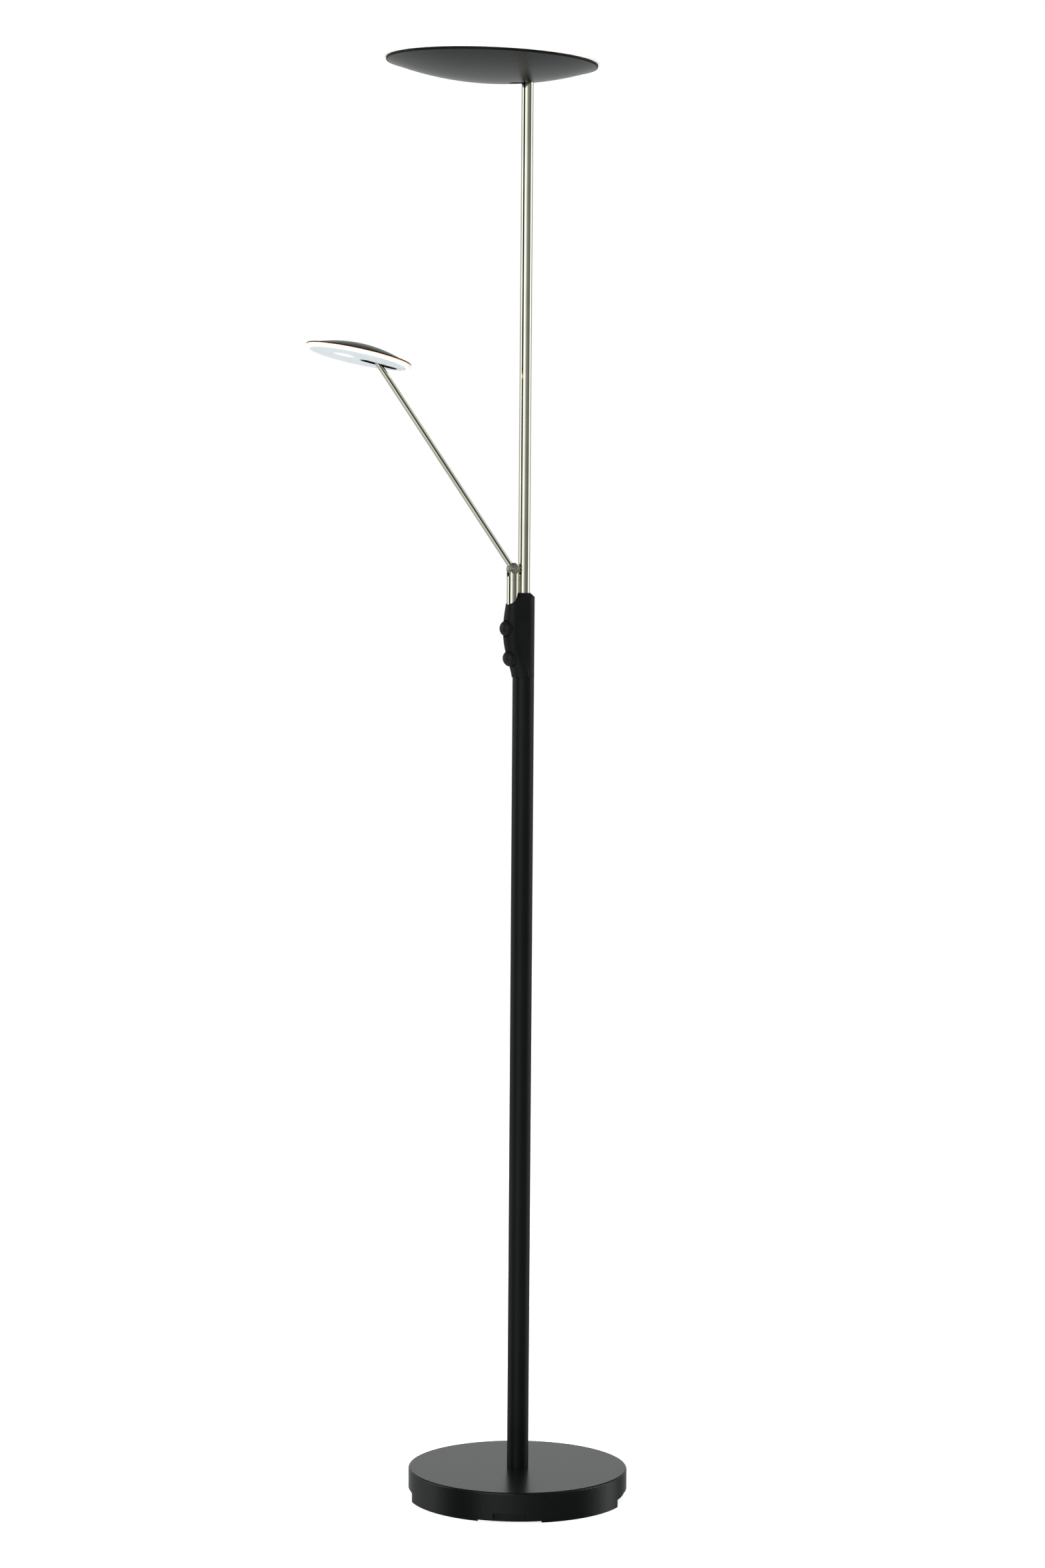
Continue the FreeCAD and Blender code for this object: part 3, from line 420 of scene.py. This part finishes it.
def anodised(name, tone, roughness, metallic=0.85):
    """Fine blasted and anodised sheet."""
    finish = Finish(name)
    finish.colour(finish.colours(finish.noise(40.0, 4.0), darker(tone, 0.94), tone))
    finish.rough(finish.spread(finish.noise(120.0, 4.0), roughness - 0.03, roughness + 0.03))
    finish.bump(finish.noise(2500.0, 2.0), 0.06, 0.00002)
    finish.constant(Metallic=metallic)
    return finish.material


def make_materials():
    satin = dict(dark=(0.0028, 0.0032, 0.0033), light=(0.004, 0.0045, 0.0046), roughness=0.28)
    nickel = (0.66, 0.64, 0.53)
    return {
        "powder_grey": enamel("powder_grey", specular=0.38, wear=0.12, **satin),
        "iron": enamel("iron", (0.05, 0.05, 0.05), (0.09, 0.085, 0.08), 0.7, 500.0),
        "black_plastic": moulded("black_plastic", (0.003,) * 3, (0.005,) * 3, 0.5, specular=0.15),
        "housing_black": moulded(
            "housing_black", (0.0035, 0.0038, 0.004), (0.005, 0.0054, 0.0056), 0.44, specular=0.18
        ),
        "knob_black": moulded(
            "knob_black", (0.004,) * 3, (0.006,) * 3, 0.42, 900.0, 0.00002, specular=0.25
        ),
        "zinc_steel": plated("zinc_steel", (0.62, 0.61, 0.58), 0.3),
        "black_rubber": moulded("black_rubber", (0.012,) * 3, (0.02,) * 3, 0.8, 900.0, 0.0001),
        "board": moulded("board", (0.55, 0.56, 0.53), (0.62, 0.63, 0.6), 0.35, 700.0),
        "pole_black": enamel(
            "pole_black", (0.0028, 0.0031, 0.0033), (0.004, 0.0044, 0.0046), 0.4, 1800.0,
            specular=0.2, wear=0.1,
        ),
        "nickel": plated("nickel", nickel, 0.07, streak=0.02),
        "nickel_turned": plated("nickel_turned", nickel, 0.1, streak=0.03, soften=0.0007),
        "bush_plastic": moulded("bush_plastic", (0.6, 0.59, 0.55), (0.66, 0.65, 0.6), 0.5),
        "dish_grey": enamel("dish_grey", specular=0.36, wear=0.1, **satin),
        "acrylic_edge": glowing("acrylic_edge", (0.86, 0.84, 0.79), (1.0, 0.93, 0.84), 0.08, 0.3),
        "plate_silver": anodised("plate_silver", (0.62, 0.67, 0.69), 0.42, 0.2),
        "lens": window_glow("lens"),
        "diffuser_white": glowing(
            "diffuser_white", (0.84, 0.81, 0.75), (1.0, 0.96, 0.88), 0.06, 0.3
        ),
        "aluminium": anodised("aluminium", (0.7, 0.7, 0.7), 0.35),
    }


TURNED_NODES = ("fork", "fork_screw", "fork_nut", "arm_lug")


def dress_nodes(materials):
    """Gives every CAD node the finish of its own slot; turned parts get softened edges."""
    slots = {entry["node"]: entry["material_slot"] for entry in frame["record"]["subparts"]}
    slots.update({name: "nickel_turned" for name in TURNED_NODES})
    for name, node in frame["nodes"].items():
        node.data.materials.clear()
        node.data.materials.append(materials[slots[name]])


# ---------------------------------------------------------------------------
# Thin bands round the head and the dish, turned from their sections: radius and height in mm. The
# two black bands are painted shade: their low-sheen black stands in for the dark shade along the
# dish's rim and along the head's seam above its glow line.
# ---------------------------------------------------------------------------
# Each disc's tilt at rest, and its centre's distance from its joint in mm, as in the CAD
HEAD_TILT = math.radians(12.6)
HEAD_OFFSET = 19.2
DISH_TILT = math.radians(2.2)
DISH_OFFSET = 53.0
DISH_PIVOT_DEPTH = 12.0
GLOW_LINE = ((65.3, -4.05), (66.1, -4.05), (66.2, -3.9), (66.1, -3.6), (65.3, -3.6))
# Painted shade: a black band along the top of the head's ring, standing in for the dark shade at
# the seam between the dome and the ring
HEAD_SHADE_BAND = (
    (65.3, -3.6), (66.2, -3.6), (66.3, -3.4), (66.2, -2.9), (65.7, -2.3), (65.2, -2.1),
    (64.6, -2.2),
)
# Painted shade: a black band round the dish's rim, standing in for the dark reflection that the
# rim's upright wall shows in the dish's own paint
DISH_SHADE_BAND = (
    (131.0, -2.9), (131.8, -3.2), (132.3, -3.0), (132.5, -2.6), (132.5, -0.4), (132.3, -0.05),
    (131.0, -0.05),
)
BAND_STEPS = 240


def disc_place(joint, tilt, offset, depth=0.0):
    """The place of a disc hung on its tilt joint: its centre, turned and tilted as at rest."""
    pivot = JOINTS[joint]
    turn = math.atan2(-pivot["axis"][0], pivot["axis"][1])
    return (
        Matrix.Translation(pivot["pos_m"])
        @ Matrix.Rotation(turn, 4, "Z")
        @ Matrix.Rotation(tilt, 4, "Y")
        @ Matrix.Translation((-offset * MM, 0.0, depth * MM))
    )


def make_band(name, section, place, material, body):
    """Turns the section about the place's axis into a closed ring that rides on the body."""
    shape = bmesh.new()
    rows = []
    for step in range(BAND_STEPS):
        angle = math.tau * step / BAND_STEPS
        across, up = math.cos(angle) * MM, math.sin(angle) * MM
        rows.append([shape.verts.new((r * across, r * up, z * MM)) for r, z in section])
    for row, following in zip(rows, rows[1:] + rows[:1]):
        for index in range(len(section)):
            after = (index + 1) % len(section)
            shape.faces.new((row[index], row[after], following[after], following[index]))
    bmesh.ops.recalc_face_normals(shape, faces=shape.faces)
    mesh = bpy.data.meshes.new(name)
    shape.to_mesh(mesh)
    shape.free()
    mesh.transform(place)
    mesh.materials.append(material)
    mesh.shade_smooth()
    band = bpy.data.objects.new(name, mesh)
    bpy.context.scene.collection.objects.link(band)
    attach(band, body)


def make_bands():
    head = disc_place("head_tilt", HEAD_TILT, HEAD_OFFSET)
    dish = disc_place("dish_tilt", DISH_TILT, DISH_OFFSET, DISH_PIVOT_DEPTH)
    leak = glowing("warm_leak", (0.62, 0.32, 0.12), (1.0, 0.5, 0.2), 0.25, 0.3)
    # Painted shade: a low-sheen black for the two bands, darker than the dish's own paint
    painted_shade = moulded("painted_shade_black", (0.004,) * 3, (0.006,) * 3, 0.5, specular=0.12)
    make_band("head_glow_line", GLOW_LINE, head, leak, "head")
    make_band("head_painted_shade_band", HEAD_SHADE_BAND, head, painted_shade, "head")
    make_band("dish_painted_shade_band", DISH_SHADE_BAND, dish, painted_shade, "dish")


make_camera()
make_studio()
MATERIALS = make_materials()
dress_nodes(MATERIALS)
make_bands()
